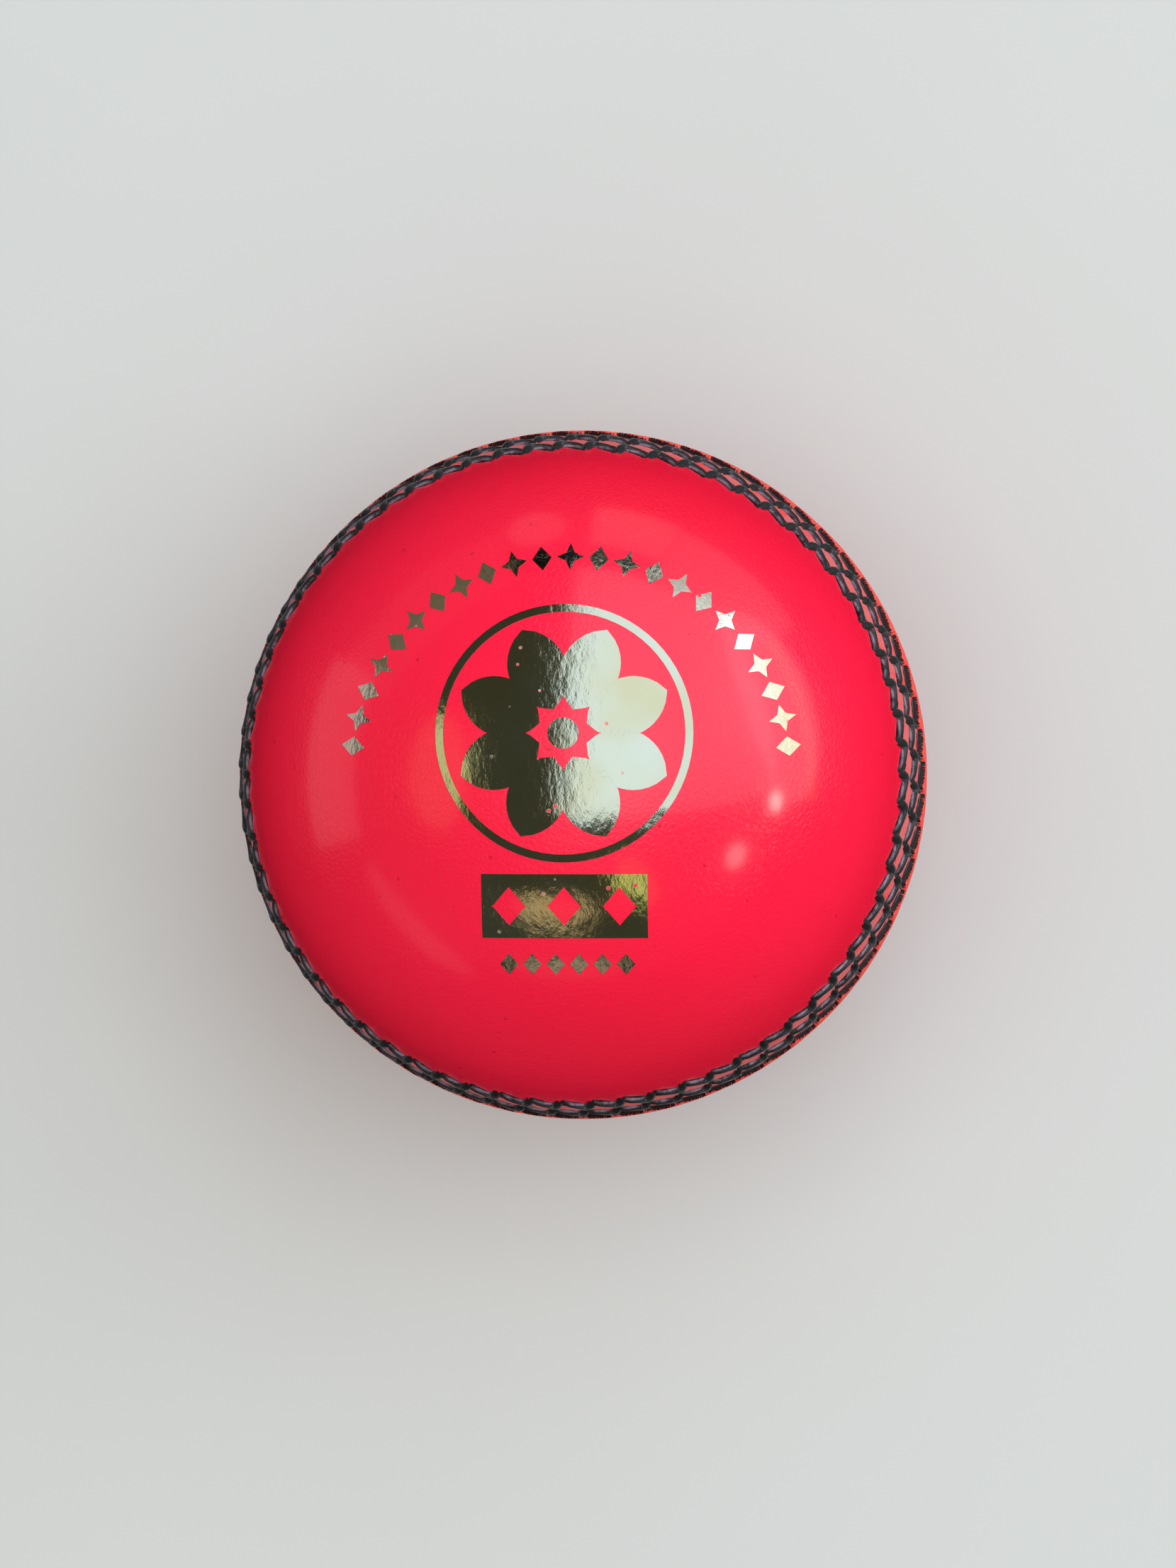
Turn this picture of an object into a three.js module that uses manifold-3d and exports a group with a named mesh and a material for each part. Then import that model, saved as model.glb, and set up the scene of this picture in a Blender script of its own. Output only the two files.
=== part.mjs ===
// A cricket ball in millimetres: a cork and yarn core inside two leather cups, closed by six rows of
// stitching round the equator. +Z runs out through the stamped face, and the origin is the ball's centre.
import * as THREE from "three";
import { mergeVertices } from "three/addons/utils/BufferGeometryUtils.js";
import Module from "manifold-3d";

// Driving dimensions.
const ballRadius = 35.8; // smooth leather, away from the seam
const leatherThickness = 3.6;
const cupJointGap = 0.3; // between the two cups' edges
const corkThickness = 3;
const yarnThickness = 1.5;
const layerCount = 4; // each layer is a jacket of cork with yarn wound over it
const goresPerJacket = 4; // each is a quarter of the shell
const goreGap = 0.4;
const layerGap = 0.3;
const windingEyeRadius = 1.6; // the small hole that a winding leaves at each of its poles
const threadDiameter = 1.0;
const threadClearance = 0.12;
const stitchesPerRow = 66;
const stitchSlant = 1.5; // how far a stitch leans across its row
const stitchReach = 0.8; // share of the pitch that a stitch spans along its row
const edgeRound = 0.35; // the leather's rounded corner beside the joint

// The rows of one cup: distance from the equator along the ball, and height of the thread's centre over it.
const stitchRows = [
  { name: "primary_stitch", distance: 2.75, height: 0.1 },
  { name: "middle_stitch", distance: 6.35, height: 0.1 },
  { name: "outer_stitch", distance: 9.95, height: 0.05 },
];
const lipHeight = 0.7; // how far the lips beside the joint stand over the ball
const ribHeights = [0.5, 0.35]; // the ribs between one row and the next

// How finely the round shapes are divided.
const cupSegments = 40;
const cupArcSteps = 7;
const coreSegments = 16; // a multiple of 8, so that a gore's edges and its stagger fall on an edge
const threadSides = 4;

// Worked out from the sizes above.
const threadRadius = threadDiameter / 2;
const channelHalfWidth = stitchSlant / 2 + threadRadius + threadClearance;
const facetDip = Math.cos(Math.PI / cupSegments) * Math.cos(Math.PI / (4 * cupArcSteps));
const coreFacetDip = Math.cos(Math.PI / coreSegments) ** 2;
const cavityRadius = ballRadius - leatherThickness;
const coreRadius = cavityRadius * facetDip - layerGap;
const shellGap = layerGap / coreFacetDip;
const layerThickness = corkThickness + yarnThickness + 2 * shellGap;
const nucleusRadius = coreRadius - layerCount * layerThickness;
const quarterTurn = Math.PI / 2;

const wasm = await Module();
wasm.setup();

// Materials.
const nucleusCork = new THREE.MeshStandardMaterial({ color: 0x6b4a33, roughness: 0.9, metalness: 0 });
const sheetCork = new THREE.MeshStandardMaterial({ color: 0xb98a58, roughness: 0.95, metalness: 0 });
const woolYarn = new THREE.MeshStandardMaterial({ color: 0xd9cdb4, roughness: 1, metalness: 0 });
const pinkLeather = new THREE.MeshStandardMaterial({ color: 0xff1a48, roughness: 0.3, metalness: 0 });
const waxedThread = new THREE.MeshStandardMaterial({ color: 0x17161a, roughness: 0.55, metalness: 0 });

function solidOf(geometry) {
  const bare = geometry.clone();
  bare.deleteAttribute("normal");
  bare.deleteAttribute("uv");
  const merged = mergeVertices(bare, 1e-4);
  const vertProperties = merged.attributes.position.array;
  const triVerts = new Uint32Array(merged.index.array);
  return new wasm.Manifold(new wasm.Mesh({ numProp: 3, vertProperties, triVerts }));
}

function geometryOf(solid) {
  const mesh = solid.getMesh();
  const geometry = new THREE.BufferGeometry();
  geometry.setAttribute("position", new THREE.BufferAttribute(mesh.vertProperties, 3));
  geometry.setIndex(new THREE.BufferAttribute(mesh.triVerts, 1));
  geometry.computeVertexNormals();
  return geometry;
}

function meshOf(name, geometry, material) {
  const mesh = new THREE.Mesh(geometry, material);
  mesh.name = name;
  return mesh;
}

// A ball whose poles lie on Z, so that every layer of the core has its facets in line with the next.
function coreBall(radius) {
  const sphere = new THREE.SphereGeometry(radius, coreSegments, coreSegments / 2);
  return solidOf(sphere.rotateX(quarterTurn));
}

function nucleus() {
  return geometryOf(coreBall(nucleusRadius));
}

// One gore of a cork jacket: a quarter of the shell between two radii, clear of its neighbours.
function corkGore(inner, outer) {
  const side = 2 * outer;
  const quarter = new THREE.BoxGeometry(side, side, 2 * side);
  quarter.translate((side + goreGap) / 2, (side + goreGap) / 2, 0);
  const shell = coreBall(outer).subtract(coreBall(inner));
  return geometryOf(shell.intersect(solidOf(quarter)));
}

// A wound shell with an eye at both poles of the axis that the yarn was turned about.
function yarnWinding(inner, outer, turnEye) {
  const eye = new THREE.CylinderGeometry(windingEyeRadius, windingEyeRadius, 4 * outer, 8);
  turnEye(eye);
  return geometryOf(coreBall(outer).subtract(coreBall(inner)).subtract(solidOf(eye)));
}

// A point on the section of a cup, by its distance from the equator along the ball and its height over it.
function sectionPoint(distance, height) {
  const latitude = distance / ballRadius;
  const radius = ballRadius + height;
  return new THREE.Vector2(radius * Math.cos(latitude), radius * Math.sin(latitude));
}

// The arc of a cup's section from one latitude to another, ends included.
function sectionArc(radius, fromLatitude, toLatitude) {
  const points = [];
  for (let step = 0; step <= cupArcSteps; step += 1) {
    const latitude = THREE.MathUtils.lerp(fromLatitude, toLatitude, step / cupArcSteps);
    points.push(new THREE.Vector2(radius * Math.cos(latitude), radius * Math.sin(latitude)));
  }
  points.forEach((point) => point.setX(Math.abs(point.x) < 1e-9 ? 0 : point.x));
  return points;
}

// The outside of a cup beside the joint: a lip, then a channel for each row with a rib after it.
function seamSection() {
  const points = [
    sectionPoint(cupJointGap / 2, lipHeight - edgeRound),
    sectionPoint(cupJointGap / 2 + edgeRound, lipHeight),
  ];
  stitchRows.forEach((row, index) => {
    const floor = row.height - threadRadius - threadClearance;
    const near = row.distance - channelHalfWidth;
    const far = row.distance + channelHalfWidth;
    const nearHeight = index === 0 ? lipHeight : ribHeights[index - 1];
    const farHeight = ribHeights[index] ?? 0;
    points.push(sectionPoint(near, nearHeight), sectionPoint(near, floor));
    points.push(sectionPoint(far, floor), sectionPoint(far, farHeight));
  });
  return points;
}

// The upper cup as a lathe: its outside from the joint up to the pole, then its inside back down.
function leatherCup() {
  const seam = seamSection();
  const lastRow = stitchRows[stitchRows.length - 1];
  const faceStart = (lastRow.distance + channelHalfWidth) / ballRadius;
  const jointHeight = seam[0].y;
  const outside = sectionArc(ballRadius, faceStart, quarterTurn).slice(1);
  const inside = sectionArc(cavityRadius, quarterTurn, Math.asin(jointHeight / cavityRadius));
  const profile = [...inside, ...seam, ...outside];
  return new THREE.LatheGeometry(profile, cupSegments).rotateX(quarterTurn);
}

// The centre line of a row of slanted stitches. The first half of each stitch's parameter runs along the row
// and leans towards the equator, and the other half is the short step back to where the next one starts.
class StitchRow extends THREE.Curve {
  constructor(row) {
    super();
    this.row = row;
  }

  getPoint(t, target = new THREE.Vector3()) {
    const turns = t * stitchesPerRow;
    const stitch = Math.floor(turns);
    const part = (turns - stitch) * 2;
    const lean = part < 1 ? part : 2 - part;
    const along = part < 1 ? part * stitchReach : stitchReach + (part - 1) * (1 - stitchReach);
    const distance = this.row.distance + (0.5 - lean) * stitchSlant;
    const { x, y } = sectionPoint(distance, this.row.height);
    const turn = ((stitch + along) / stitchesPerRow) * 2 * Math.PI;
    return target.set(x * Math.cos(turn), x * Math.sin(turn), y);
  }

  getPointAt(t, target) {
    return this.getPoint(t, target);
  }

  getTangentAt(t, target = new THREE.Vector3()) {
    const step = 0.25 / stitchesPerRow;
    const wrap = (value) => (value + 1) % 1;
    return target.subVectors(this.getPoint(wrap(t + step)), this.getPoint(wrap(t - step))).normalize();
  }
}

function stitching(row) {
  return new THREE.TubeGeometry(new StitchRow(row), 2 * stitchesPerRow, threadRadius, threadSides, true);
}

// The core, from the middle outwards.
function core() {
  const group = new THREE.Group();
  group.add(meshOf("core_nucleus", nucleus(), nucleusCork));
  const eyeTurns = [
    (eye) => eye.rotateX(quarterTurn),
    (eye) => eye.rotateZ(quarterTurn),
    (eye) => eye,
  ];
  for (let layer = 0; layer < layerCount; layer += 1) {
    const corkInner = nucleusRadius + layer * layerThickness + shellGap;
    const corkOuter = corkInner + corkThickness;
    const yarnInner = corkOuter + shellGap;
    const yarnOuter = yarnInner + yarnThickness;
    const gore = corkGore(corkInner, corkOuter);
    const stagger = layer % 2 ? quarterTurn / 2 : 0; // breaks the joints of one jacket over the last
    for (let place = 0; place < goresPerJacket; place += 1) {
      const mesh = meshOf(`cork_layer_${layer + 1}_gore_${place + 1}`, gore, sheetCork);
      mesh.rotation.z = place * quarterTurn + stagger;
      group.add(mesh);
    }
    const winding = yarnWinding(yarnInner, yarnOuter, eyeTurns[layer % eyeTurns.length]);
    group.add(meshOf(`yarn_winding_${layer + 1}`, winding, woolYarn));
  }
  return group;
}

// One half of the cover with its three rows. The lower half is the upper one turned over.
function coverHalf(side) {
  const group = new THREE.Group();
  group.add(meshOf(`leather_cup_${side}`, leatherCup(), pinkLeather));
  stitchRows.forEach((row) => {
    group.add(meshOf(`${row.name}_${side}`, stitching(row), waxedThread));
  });
  return group;
}

const cricketBall = new THREE.Group();
const lowerHalf = coverHalf("lower");
lowerHalf.rotation.x = Math.PI;
cricketBall.add(core(), coverHalf("upper"), lowerHalf);

export default cricketBall;
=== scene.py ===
"""A pink cricket ball: leather cups, waxed stitching and a foil stamp over a cork and yarn core.

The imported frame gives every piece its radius, its place and its angle. The classes below rebuild each piece
round those sizes with the surface that it really has, and dress it in a procedural finish.
"""
import logging
import math
from dataclasses import dataclass, field
from enum import Enum
from typing import Any

import bmesh
import bpy
import numpy as np
from mathutils import Matrix, Vector


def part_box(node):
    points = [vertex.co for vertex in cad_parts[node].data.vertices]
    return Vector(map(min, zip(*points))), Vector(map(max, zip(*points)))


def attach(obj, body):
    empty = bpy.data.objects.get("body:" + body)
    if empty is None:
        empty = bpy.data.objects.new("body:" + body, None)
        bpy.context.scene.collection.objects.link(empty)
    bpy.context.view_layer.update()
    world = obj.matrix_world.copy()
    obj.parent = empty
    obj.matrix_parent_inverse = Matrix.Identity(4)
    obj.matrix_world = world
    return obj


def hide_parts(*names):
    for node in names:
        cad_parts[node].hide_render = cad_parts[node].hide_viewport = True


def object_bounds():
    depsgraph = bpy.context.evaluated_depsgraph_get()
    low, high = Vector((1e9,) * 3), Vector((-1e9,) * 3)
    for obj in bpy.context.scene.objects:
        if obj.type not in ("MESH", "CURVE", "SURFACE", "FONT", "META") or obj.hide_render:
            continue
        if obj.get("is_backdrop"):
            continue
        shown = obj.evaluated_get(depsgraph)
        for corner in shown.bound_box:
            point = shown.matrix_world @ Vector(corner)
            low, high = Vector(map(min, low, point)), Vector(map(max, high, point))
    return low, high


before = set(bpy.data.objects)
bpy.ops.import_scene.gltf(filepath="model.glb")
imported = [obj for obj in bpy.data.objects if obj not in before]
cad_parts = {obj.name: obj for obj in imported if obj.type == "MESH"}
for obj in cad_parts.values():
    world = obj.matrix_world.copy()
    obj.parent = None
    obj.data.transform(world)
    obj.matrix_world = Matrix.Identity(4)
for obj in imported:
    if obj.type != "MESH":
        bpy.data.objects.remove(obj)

LOGGER = logging.getLogger("cricket_ball")
MM = 0.001
TAU = 2 * math.pi
BODY = "root"
Colour = tuple[float, float, float]
Face = tuple[int, ...]
Curves = tuple[np.ndarray, np.ndarray]
Sheet = tuple[np.ndarray, list[Face]]


class Side(Enum):
    """Which half of the cover a piece belongs to, and how far it is turned over about X."""

    UPPER = 0.0
    LOWER = math.pi

    @property
    def word(self) -> str:
        """The side's name as the frame's nodes spell it."""
        return self.name.lower()


class StitchLine(Enum):
    """The three rows of one half, and the share of a stitch by which each is shifted round the ball."""

    PRIMARY = 0.5
    MIDDLE = 0.3
    OUTER = 0.0

    def node(self, side: Side) -> str:
        """The name of this row's node on one side."""
        return f"{self.name.lower()}_stitch_{side.word}"


# ---------------------------------------------------------------- node trees


class Value:
    """One output of a node tree. Arithmetic on it adds Math nodes to its tree."""

    def __init__(self, graph: "Graph", socket: bpy.types.NodeSocket) -> None:
        """Wraps a socket.

        Args:
            graph: the tree that the socket belongs to.
            socket: the output socket.
        """
        self.graph = graph
        self.socket = socket

    def output(self, name: str) -> "Value":
        """Another output of the same node."""
        return Value(self.graph, self.socket.node.outputs[name])

    def math(self, operation: str, *others: "Value | float") -> "Value":
        """This value and others through one Math node."""
        return self.graph.math(operation, self, *others)

    def __add__(self, other: "Value | float") -> "Value":
        """self + other."""
        return self.graph.math("ADD", self, other)

    def __sub__(self, other: "Value | float") -> "Value":
        """self - other."""
        return self.graph.math("SUBTRACT", self, other)

    def __rsub__(self, other: "Value | float") -> "Value":
        """other - self."""
        return self.graph.math("SUBTRACT", other, self)

    def __mul__(self, other: "Value | float") -> "Value":
        """self * other."""
        return self.graph.math("MULTIPLY", self, other)

    def __truediv__(self, other: "Value | float") -> "Value":
        """self / other."""
        return self.graph.math("DIVIDE", self, other)

    def __rtruediv__(self, other: "Value | float") -> "Value":
        """other / self."""
        return self.graph.math("DIVIDE", other, self)

    __radd__ = __add__
    __rmul__ = __mul__

    def sine(self) -> "Value":
        """The sine of an angle in radians."""
        return self.math("SINE")

    def cosine(self) -> "Value":
        """The cosine of an angle in radians."""
        return self.math("COSINE")

    def absolute(self) -> "Value":
        """The value without its sign."""
        return self.math("ABSOLUTE")

    def step(self, low: float, high: float) -> "Value":
        """A smooth step from 0 at low to 1 at high, or downwards where low is the larger."""
        sockets = {"Value": self, "From Min": low, "From Max": high}
        return self.graph.add("ShaderNodeMapRange", {"interpolation_type": "SMOOTHSTEP"}, sockets)


class Graph:
    """A node tree being built."""

    def __init__(self, tree: bpy.types.NodeTree) -> None:
        """Wraps an empty tree."""
        self.tree = tree

    def add(
        self,
        kind: str,
        settings: dict[str, Any] | None = None,
        sockets: dict[str | int, Any] | None = None,
        output: str | int = 0,
    ) -> Value:
        """Adds one node.

        Args:
            kind: the node's type.
            settings: its properties, which are set first, and for a float curve its points.
            sockets: input name or number to a Value, which is linked, or a plain value, which is set.
            output: the output that is wanted.

        Returns:
            That output, or a Value with no socket for a node with no outputs.
        """
        node = self.tree.nodes.new(kind)
        for name, setting in (settings or {}).items():
            if name == "points":
                self._set_points(node.mapping, setting)
            else:
                setattr(node, name, setting)
        for key, source in (sockets or {}).items():
            if isinstance(source, Value):
                self.tree.links.new(source.socket, node.inputs[key])
            else:
                node.inputs[key].default_value = source
        return Value(self, node.outputs[output] if node.outputs else None)

    @staticmethod
    def _set_points(mapping: bpy.types.CurveMapping, points: list[tuple[float, float]]) -> None:
        """Gives a float curve its points.

        Args:
            mapping: the node's curve mapping.
            points: (place, height) pairs, the places from 0 to 1.
        """
        curve = mapping.curves[0]
        while len(curve.points) < len(points):
            curve.points.new(0.5, 0.5)
        for point, place in zip(curve.points, points):
            point.location = place
        mapping.update()

    def math(self, operation: str, *values: "Value | float") -> Value:
        """One Math node over one or more values."""
        return self.add("ShaderNodeMath", {"operation": operation}, dict(enumerate(values)))

    def mix(self, share: Value | float, low: Value | Colour, high: Value | Colour) -> Value:
        """Mixes two colours: low where share is 0 and high where it is 1."""
        colours = [c if isinstance(c, Value) else (*c, 1.0) for c in (low, high)]
        return self.add("ShaderNodeMix", {"data_type": "RGBA"}, {0: share, 6: colours[0], 7: colours[1]}, 2)

    def noise(self, place: Value, scale: float, detail: float = 2.0, roughness: float = 0.5) -> Value:
        """Noise from 0 to 1, with scale in features per metre."""
        sockets = {"Vector": place, "Scale": scale, "Detail": detail, "Roughness": roughness}
        return self.add("ShaderNodeTexNoise", {}, sockets)

    def cells(self, place: Value, scale: float, feature: str = "F1") -> Value:
        """Distance in a cell pattern, with scale in cells per metre."""
        return self.add("ShaderNodeTexVoronoi", {"feature": feature}, {"Vector": place, "Scale": scale})

    def stretched(self, place: Value, factors: Colour, turn: Colour = (0.0, 0.0, 0.0)) -> Value:
        """The same coordinates turned and stretched, for grain with a direction."""
        return self.add("ShaderNodeMapping", {}, {"Vector": place, "Rotation": turn, "Scale": factors})


class SurfaceGraph(Graph):
    """A material's tree with its Principled shader."""

    def __init__(self, name: str, uniform: dict[str, Any]) -> None:
        """Starts a material.

        Args:
            name: the material's name.
            uniform: shader socket to a value that is the same all over the surface.
        """
        self.material = bpy.data.materials.new(name)
        self.material.use_nodes = True
        super().__init__(self.material.node_tree)
        self.shader = self.tree.nodes["Principled BSDF"]
        for socket, value in uniform.items():
            self.shader.inputs[socket].default_value = value

    def place(self) -> Value:
        """The object coordinates, in metres."""
        return self.add("ShaderNodeTexCoord", output="Object")

    def attribute(self, name: str) -> Value:
        """A number that the mesh holds at each point."""
        return self.add("ShaderNodeAttribute", {"attribute_name": name}, output="Fac")

    def feed(self, **sources: Value) -> None:
        """Links varying values to the shader's sockets, whose spaces are written as underscores."""
        for socket, source in sources.items():
            self.tree.links.new(source.socket, self.shader.inputs[socket.replace("_", " ")])

    def relief(self, *layers: tuple[Value, float]) -> None:
        """Feeds the shader's normal from one or more heights.

        Args:
            layers: pairs of a height from 0 to 1 and the depth in metres that it stands for.
        """
        normal = None
        for height, depth in layers:
            sockets = {"Height": height, "Distance": depth, "Strength": 1.0}
            if normal is not None:
                sockets["Normal"] = normal
            normal = self.add("ShaderNodeBump", {}, sockets)
        self.feed(Normal=normal)


class ShapeGraph(Graph):
    """A geometry tree with named sizes as its inputs."""

    KINDS = {float: "NodeSocketFloat", int: "NodeSocketInt"}

    def __init__(self, name: str, sizes: dict[str, float | int]) -> None:
        """Starts a geometry tree.

        Args:
            name: the tree's name.
            sizes: input name to its value, which also sets the input's kind.
        """
        super().__init__(bpy.data.node_groups.new(name, "GeometryNodeTree"))
        self.sizes = sizes
        face = self.tree.interface
        face.new_socket("Geometry", in_out="INPUT", socket_type="NodeSocketGeometry")
        face.new_socket("Geometry", in_out="OUTPUT", socket_type="NodeSocketGeometry")
        for size, value in sizes.items():
            face.new_socket(size, in_out="INPUT", socket_type=self.KINDS[type(value)])
        self.entry = self.tree.nodes.new("NodeGroupInput")

    def size(self, name: str) -> Value:
        """One of the tree's named inputs."""
        return Value(self, self.entry.outputs[name])

    def entry_geometry(self) -> Value:
        """The mesh that the tree begins from."""
        return Value(self, self.entry.outputs["Geometry"])

    def random(self, spread: float, seed: int) -> Value:
        """A random number for each point.

        Args:
            spread: how far it may lie from zero, either way.
            seed: the fixed seed.

        Returns:
            The number.
        """
        sockets = {"Min": -spread, "Max": spread, "Seed": seed}
        node = self.add("FunctionNodeRandomValue", {"data_type": "FLOAT"}).socket.node
        for socket in node.inputs:
            if socket.enabled and socket.name in sockets:
                socket.default_value = sockets[socket.name]
        return Value(self, next(s for s in node.outputs if s.enabled))

    def vector(self, x: Value | float, y: Value | float, z: Value | float) -> Value:
        """Three numbers as one vector."""
        return self.add("ShaderNodeCombineXYZ", {}, {"X": x, "Y": y, "Z": z})

    def finish(self, geometry: Value, material: bpy.types.Material) -> None:
        """Ends the tree: real geometry, smooth, in one material.

        Args:
            geometry: what the tree has made.
            material: its finish.
        """
        real = self.add("GeometryNodeRealizeInstances", {}, {"Geometry": geometry})
        smooth = self.add("GeometryNodeSetShadeSmooth", {}, {"Geometry": real})
        dressed = self.add("GeometryNodeSetMaterial", {}, {"Geometry": smooth, "Material": material})
        self.add("NodeGroupOutput", {}, {"Geometry": dressed})

    def bake(self, name: str, start: bpy.types.Mesh | None = None) -> bpy.types.Object:
        """Runs the tree and keeps its result as a plain mesh.

        Args:
            name: the name of the object that is made.
            start: the mesh that the tree begins from, if it needs one.

        Returns:
            An object at the origin with the finished mesh and no modifier.
        """
        piece = add_object(name, start or bpy.data.meshes.new(name))
        modifier = piece.modifiers.new(self.tree.name, "NODES")
        modifier.node_group = self.tree
        for item in self.tree.interface.items_tree:
            if item.in_out == "INPUT" and item.name in self.sizes:
                modifier[item.identifier] = self.sizes[item.name]
        depsgraph = bpy.context.evaluated_depsgraph_get()
        shown = piece.evaluated_get(depsgraph)
        mesh = bpy.data.meshes.new_from_object(shown, preserve_all_data_layers=True, depsgraph=depsgraph)
        piece.modifiers.clear()
        piece.data = mesh
        mesh.name = name
        return piece


# ---------------------------------------------------------------- mesh helpers


def add_object(name: str, mesh: bpy.types.Mesh) -> bpy.types.Object:
    """Puts a mesh in the scene.

    Args:
        name: the object's name.
        mesh: its mesh.

    Returns:
        The object, which is at the origin.
    """
    piece = bpy.data.objects.new(name, mesh)
    bpy.context.scene.collection.objects.link(piece)
    return piece


def mesh_of(name: str, points: np.ndarray, faces: list[Face]) -> bpy.types.Mesh:
    """Makes a smooth mesh.

    Args:
        name: the mesh's name.
        points: its points, in metres.
        faces: the numbers of each face's points.

    Returns:
        The mesh.
    """
    mesh = bpy.data.meshes.new(name)
    mesh.from_pydata(points.tolist(), [], faces)
    mesh.polygons.foreach_set("use_smooth", [True] * len(mesh.polygons))
    mesh.update()
    return mesh


def set_number(mesh: bpy.types.Mesh, name: str, numbers: np.ndarray) -> None:
    """Stores one number for each point of a mesh."""
    attribute = mesh.attributes.new(name, "FLOAT", "POINT")
    attribute.data.foreach_set("value", np.asarray(numbers, np.float32))


def settle(piece: bpy.types.Object, slot: str, *nodes: str) -> None:
    """Makes a finished piece ride on the ball, in place of the frame's nodes.

    Args:
        piece: the object, with its final mesh.
        slot: the name of a material slot; not used.
        nodes: the nodes that it stands for.
    """
    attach(piece, BODY)
    if nodes:
        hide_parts(*nodes)
    LOGGER.info("%s: %d faces", piece.name, len(piece.data.polygons))


def radii_of(node: str) -> tuple[float, float]:
    """The nearest and furthest distance of a node's points from the ball's centre, in metres."""
    lengths = [vertex.co.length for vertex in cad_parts[node].data.vertices]
    return min(lengths), max(lengths)


# ---------------------------------------------------------------- finishes


@dataclass(frozen=True)
class LacqueredLeather:
    """Dyed cowhide: lacquered on the face, matt and paler in the seam, suede on its inner side."""

    face: Colour = (1.0, 0.006, 0.052)
    face_deep: Colour = (0.90, 0.005, 0.034)
    seam: Colour = (0.76, 0.125, 0.13)
    seam_worn: Colour = (0.92, 0.05, 0.06)
    lip: Colour = (0.98, 0.075, 0.055)
    # Near-black wax in the grooves, which also stands for painted shade beside the threads.
    wax: Colour = (0.022, 0.003, 0.005)
    suede: Colour = (0.66, 0.36, 0.30)
    speck: Colour = (0.35, 0.0, 0.015)
    fibre: Colour = (0.88, 0.34, 0.31)
    lip_edge: tuple[float, float] = (3.0 * MM, 2.2 * MM)  # where the strip's colour turns into the lip's
    mottle_scale: float = 45.0
    sag_scale: float = 95.0
    speck_scale: float = 260.0
    crease_scale: float = 300.0
    wear_scale: float = 420.0
    grain_scale: float = 1500.0
    fibre_scale: float = 2600.0
    grain_depth: float = 0.018 * MM
    fibre_depth: float = 0.05 * MM
    crease_depth: float = 0.055 * MM
    sag_depth: float = 0.20 * MM

    def make(self) -> bpy.types.Material:
        """Builds the material, which reads the seam, gloss and suede attributes of a cup, and the one for the
        near-black band of wax and painted shade beside the threads.

        Returns:
            The material.
        """
        graph = SurfaceGraph("lacquered_leather", {"Coat Roughness": 0.13, "IOR": 1.45, "Coat IOR": 1.5})
        place = graph.place()
        seam = graph.attribute("seam")
        suede = graph.attribute("suede")
        gloss = graph.attribute("gloss")
        wax_and_shade = graph.attribute("wax_and_shade")
        mottle = graph.noise(place, self.mottle_scale, 0.0)
        worn = graph.noise(place, self.wear_scale, 3.0)
        fibres = graph.noise(place, self.fibre_scale, 3.0, 0.7)
        specks = graph.cells(place, self.speck_scale).step(0.06, 0.035)
        face = graph.mix(mottle, self.face, self.face_deep)
        face = graph.mix(specks * 0.5, face, self.speck)
        strip = graph.mix(worn.step(0.52, 0.66), self.seam, self.seam_worn)
        strip = graph.mix(fibres.step(0.35, 0.8) * 0.2, strip, self.fibre)
        strip = graph.mix(graph.attribute("arc").step(*self.lip_edge) * 0.85, strip, self.lip)
        # Near-black beside each row: wax in the groove and painted shade in the crease next to the thread,
        # but not on the puckers.
        wax_shade_mask = (wax_and_shade + (fibres - 0.5) * 0.5).step(0.30, 0.62) * (1.0 - gloss * 0.8)
        skin = graph.mix(wax_shade_mask, graph.mix(seam, face, strip), self.wax)
        graph.feed(
            Base_Color=graph.mix(suede, skin, self.suede),
            Roughness=0.26 + seam * 0.3 + suede * 0.4 - gloss * 0.25,
            Coat_Weight=(1.0 - seam + gloss).math("MINIMUM", 1.0) * (1.0 - suede) * 0.8,
        )
        drawn = graph.stretched(place, (1.0, 0.25, 1.0), (0.0, 0.0, 0.7))
        graph.relief(
            (graph.noise(place, self.sag_scale, 1.0), self.sag_depth),
            (graph.noise(drawn, self.crease_scale, 4.0), self.crease_depth),
            (graph.cells(place, self.grain_scale, "DISTANCE_TO_EDGE").step(0.0, 0.25), self.grain_depth),
            (fibres * seam, self.fibre_depth),
        )
        return graph.material


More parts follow.
